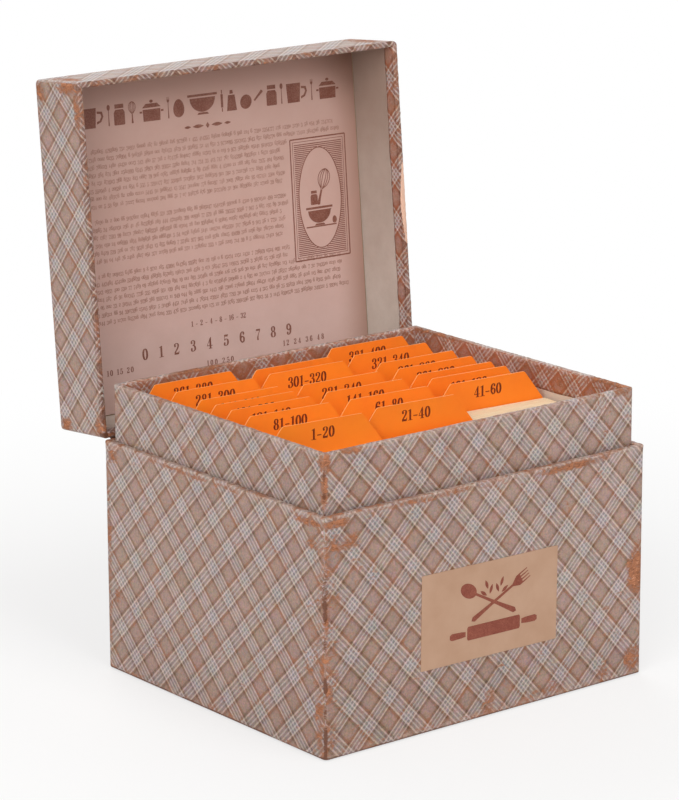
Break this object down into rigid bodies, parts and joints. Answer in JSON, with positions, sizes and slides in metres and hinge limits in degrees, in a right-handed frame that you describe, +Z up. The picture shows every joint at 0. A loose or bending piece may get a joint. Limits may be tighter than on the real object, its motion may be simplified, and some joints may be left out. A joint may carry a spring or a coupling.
{
  "type": "recipe card box",
  "caption": "Paper-covered chipboard box with a raised inner tray and a shallow lid on a paper hinge, holding standing recipe cards and tabbed index guides that lift out.",
  "frame": {"origin": "middle of the tray's underside, on the surface that the box stands on", "axes": "+Z up, +X to the right when the label is looked at, -Y out of the front with the label; the lid is hinged at +Y"},
  "size_m": [0.168, 0.1915, 0.2465],
  "materials": {
    "chipboard": "matte",
    "plaid_paper": "matte",
    "lining_paper": "matte",
    "printed_sheet": "matte",
    "label_paper": "matte",
    "hinge_paper": "matte",
    "guide_stock": "matte",
    "card_stock": "matte"
  },
  "bodies": {
    "box": {"base_back_board": "chipboard", "base_bottom_sheet": "lining_paper", "base_floor_board": "chipboard", "base_front_board": "chipboard", "base_left_board": "chipboard", "base_right_board": "chipboard", "base_wrap": "plaid_paper", "front_label": "label_paper", "hinge_base_flap": "hinge_paper", "neck_back_board": "chipboard", "neck_floor_board": "chipboard", "neck_front_board": "chipboard", "neck_left_board": "chipboard", "neck_lining": "lining_paper", "neck_right_board": "chipboard", "neck_wrap": "plaid_paper"},
    "lid": {"hinge_lid_flap": "hinge_paper", "lid_back_board": "chipboard", "lid_front_board": "chipboard", "lid_left_board": "chipboard", "lid_lining": "lining_paper", "lid_right_board": "chipboard", "lid_sheet": "printed_sheet", "lid_top_board": "chipboard", "lid_wrap": "plaid_paper"},
    "guide_01": {"guide_01": "guide_stock"},
    "guide_02": {"guide_02": "guide_stock"},
    "guide_03": {"guide_03": "guide_stock"},
    "guide_04": {"guide_04": "guide_stock"},
    "guide_05": {"guide_05": "guide_stock"},
    "guide_06": {"guide_06": "guide_stock"},
    "guide_07": {"guide_07": "guide_stock"},
    "guide_08": {"guide_08": "guide_stock"},
    "guide_09": {"guide_09": "guide_stock"},
    "guide_10": {"guide_10": "guide_stock"},
    "guide_11": {"guide_11": "guide_stock"},
    "guide_12": {"guide_12": "guide_stock"},
    "guide_13": {"guide_13": "guide_stock"},
    "guide_14": {"guide_14": "guide_stock"},
    "guide_15": {"guide_15": "guide_stock"},
    "guide_16": {"guide_16": "guide_stock"},
    "guide_17": {"guide_17": "guide_stock"},
    "guide_18": {"guide_18": "guide_stock"},
    "guide_19": {"guide_19": "guide_stock"},
    "guide_20": {"guide_20": "guide_stock"},
    "recipe_cards_01": {"recipe_cards_01": "card_stock"},
    "recipe_cards_02": {"recipe_cards_02": "card_stock"},
    "recipe_cards_03": {"recipe_cards_03": "card_stock"},
    "recipe_cards_04": {"recipe_cards_04": "card_stock"},
    "recipe_cards_05": {"recipe_cards_05": "card_stock"},
    "recipe_cards_06": {"recipe_cards_06": "card_stock"},
    "recipe_cards_07": {"recipe_cards_07": "card_stock"},
    "recipe_cards_08": {"recipe_cards_08": "card_stock"},
    "recipe_cards_09": {"recipe_cards_09": "card_stock"},
    "recipe_cards_10": {"recipe_cards_10": "card_stock"},
    "recipe_cards_11": {"recipe_cards_11": "card_stock"},
    "recipe_cards_12": {"recipe_cards_12": "card_stock"},
    "recipe_cards_13": {"recipe_cards_13": "card_stock"}
  },
  "joints": [
    {"name": "lid_hinge", "type": "hinge", "parent": "box", "child": "lid", "pos_m": [0, 0.07375, 0.099], "axis": [-1, 0, 0], "range_deg": [-95, 80]},
    {"name": "guide_01_lift", "type": "slide", "parent": "box", "child": "guide_01", "axis": [0, 0, 1], "range_m": [0, 0.12]},
    {"name": "guide_02_lift", "type": "slide", "parent": "box", "child": "guide_02", "axis": [0, 0, 1], "range_m": [0, 0.12]},
    {"name": "guide_03_lift", "type": "slide", "parent": "box", "child": "guide_03", "axis": [0, 0, 1], "range_m": [0, 0.12]},
    {"name": "guide_04_lift", "type": "slide", "parent": "box", "child": "guide_04", "axis": [0, 0, 1], "range_m": [0, 0.12]},
    {"name": "guide_05_lift", "type": "slide", "parent": "box", "child": "guide_05", "axis": [0, 0, 1], "range_m": [0, 0.12]},
    {"name": "guide_06_lift", "type": "slide", "parent": "box", "child": "guide_06", "axis": [0, 0, 1], "range_m": [0, 0.12]},
    {"name": "guide_07_lift", "type": "slide", "parent": "box", "child": "guide_07", "axis": [0, 0, 1], "range_m": [0, 0.12]},
    {"name": "guide_08_lift", "type": "slide", "parent": "box", "child": "guide_08", "axis": [0, 0, 1], "range_m": [0, 0.12]},
    {"name": "guide_09_lift", "type": "slide", "parent": "box", "child": "guide_09", "axis": [0, 0, 1], "range_m": [0, 0.12]},
    {"name": "guide_10_lift", "type": "slide", "parent": "box", "child": "guide_10", "axis": [0, 0, 1], "range_m": [0, 0.12]},
    {"name": "guide_11_lift", "type": "slide", "parent": "box", "child": "guide_11", "axis": [0, 0, 1], "range_m": [0, 0.12]},
    {"name": "guide_12_lift", "type": "slide", "parent": "box", "child": "guide_12", "axis": [0, 0, 1], "range_m": [0, 0.12]},
    {"name": "guide_13_lift", "type": "slide", "parent": "box", "child": "guide_13", "axis": [0, 0, 1], "range_m": [0, 0.12]},
    {"name": "guide_14_lift", "type": "slide", "parent": "box", "child": "guide_14", "axis": [0, 0, 1], "range_m": [0, 0.12]},
    {"name": "guide_15_lift", "type": "slide", "parent": "box", "child": "guide_15", "axis": [0, 0, 1], "range_m": [0, 0.12]},
    {"name": "guide_16_lift", "type": "slide", "parent": "box", "child": "guide_16", "axis": [0, 0, 1], "range_m": [0, 0.12]},
    {"name": "guide_17_lift", "type": "slide", "parent": "box", "child": "guide_17", "axis": [0, 0, 1], "range_m": [0, 0.12]},
    {"name": "guide_18_lift", "type": "slide", "parent": "box", "child": "guide_18", "axis": [0, 0, 1], "range_m": [0, 0.12]},
    {"name": "guide_19_lift", "type": "slide", "parent": "box", "child": "guide_19", "axis": [0, 0, 1], "range_m": [0, 0.12]},
    {"name": "guide_20_lift", "type": "slide", "parent": "box", "child": "guide_20", "axis": [0, 0, 1], "range_m": [0, 0.12]},
    {"name": "recipe_cards_01_lift", "type": "slide", "parent": "box", "child": "recipe_cards_01", "axis": [0, 0, 1], "range_m": [0, 0.12]},
    {"name": "recipe_cards_02_lift", "type": "slide", "parent": "box", "child": "recipe_cards_02", "axis": [0, 0, 1], "range_m": [0, 0.12]},
    {"name": "recipe_cards_03_lift", "type": "slide", "parent": "box", "child": "recipe_cards_03", "axis": [0, 0, 1], "range_m": [0, 0.12]},
    {"name": "recipe_cards_04_lift", "type": "slide", "parent": "box", "child": "recipe_cards_04", "axis": [0, 0, 1], "range_m": [0, 0.12]},
    {"name": "recipe_cards_05_lift", "type": "slide", "parent": "box", "child": "recipe_cards_05", "axis": [0, 0, 1], "range_m": [0, 0.12]},
    {"name": "recipe_cards_06_lift", "type": "slide", "parent": "box", "child": "recipe_cards_06", "axis": [0, 0, 1], "range_m": [0, 0.12]},
    {"name": "recipe_cards_07_lift", "type": "slide", "parent": "box", "child": "recipe_cards_07", "axis": [0, 0, 1], "range_m": [0, 0.12]},
    {"name": "recipe_cards_08_lift", "type": "slide", "parent": "box", "child": "recipe_cards_08", "axis": [0, 0, 1], "range_m": [0, 0.12]},
    {"name": "recipe_cards_09_lift", "type": "slide", "parent": "box", "child": "recipe_cards_09", "axis": [0, 0, 1], "range_m": [0, 0.12]},
    {"name": "recipe_cards_10_lift", "type": "slide", "parent": "box", "child": "recipe_cards_10", "axis": [0, 0, 1], "range_m": [0, 0.12]},
    {"name": "recipe_cards_11_lift", "type": "slide", "parent": "box", "child": "recipe_cards_11", "axis": [0, 0, 1], "range_m": [0, 0.12]},
    {"name": "recipe_cards_12_lift", "type": "slide", "parent": "box", "child": "recipe_cards_12", "axis": [0, 0, 1], "range_m": [0, 0.12]},
    {"name": "recipe_cards_13_lift", "type": "slide", "parent": "box", "child": "recipe_cards_13", "axis": [0, 0, 1], "range_m": [0, 0.12]}
  ]
}
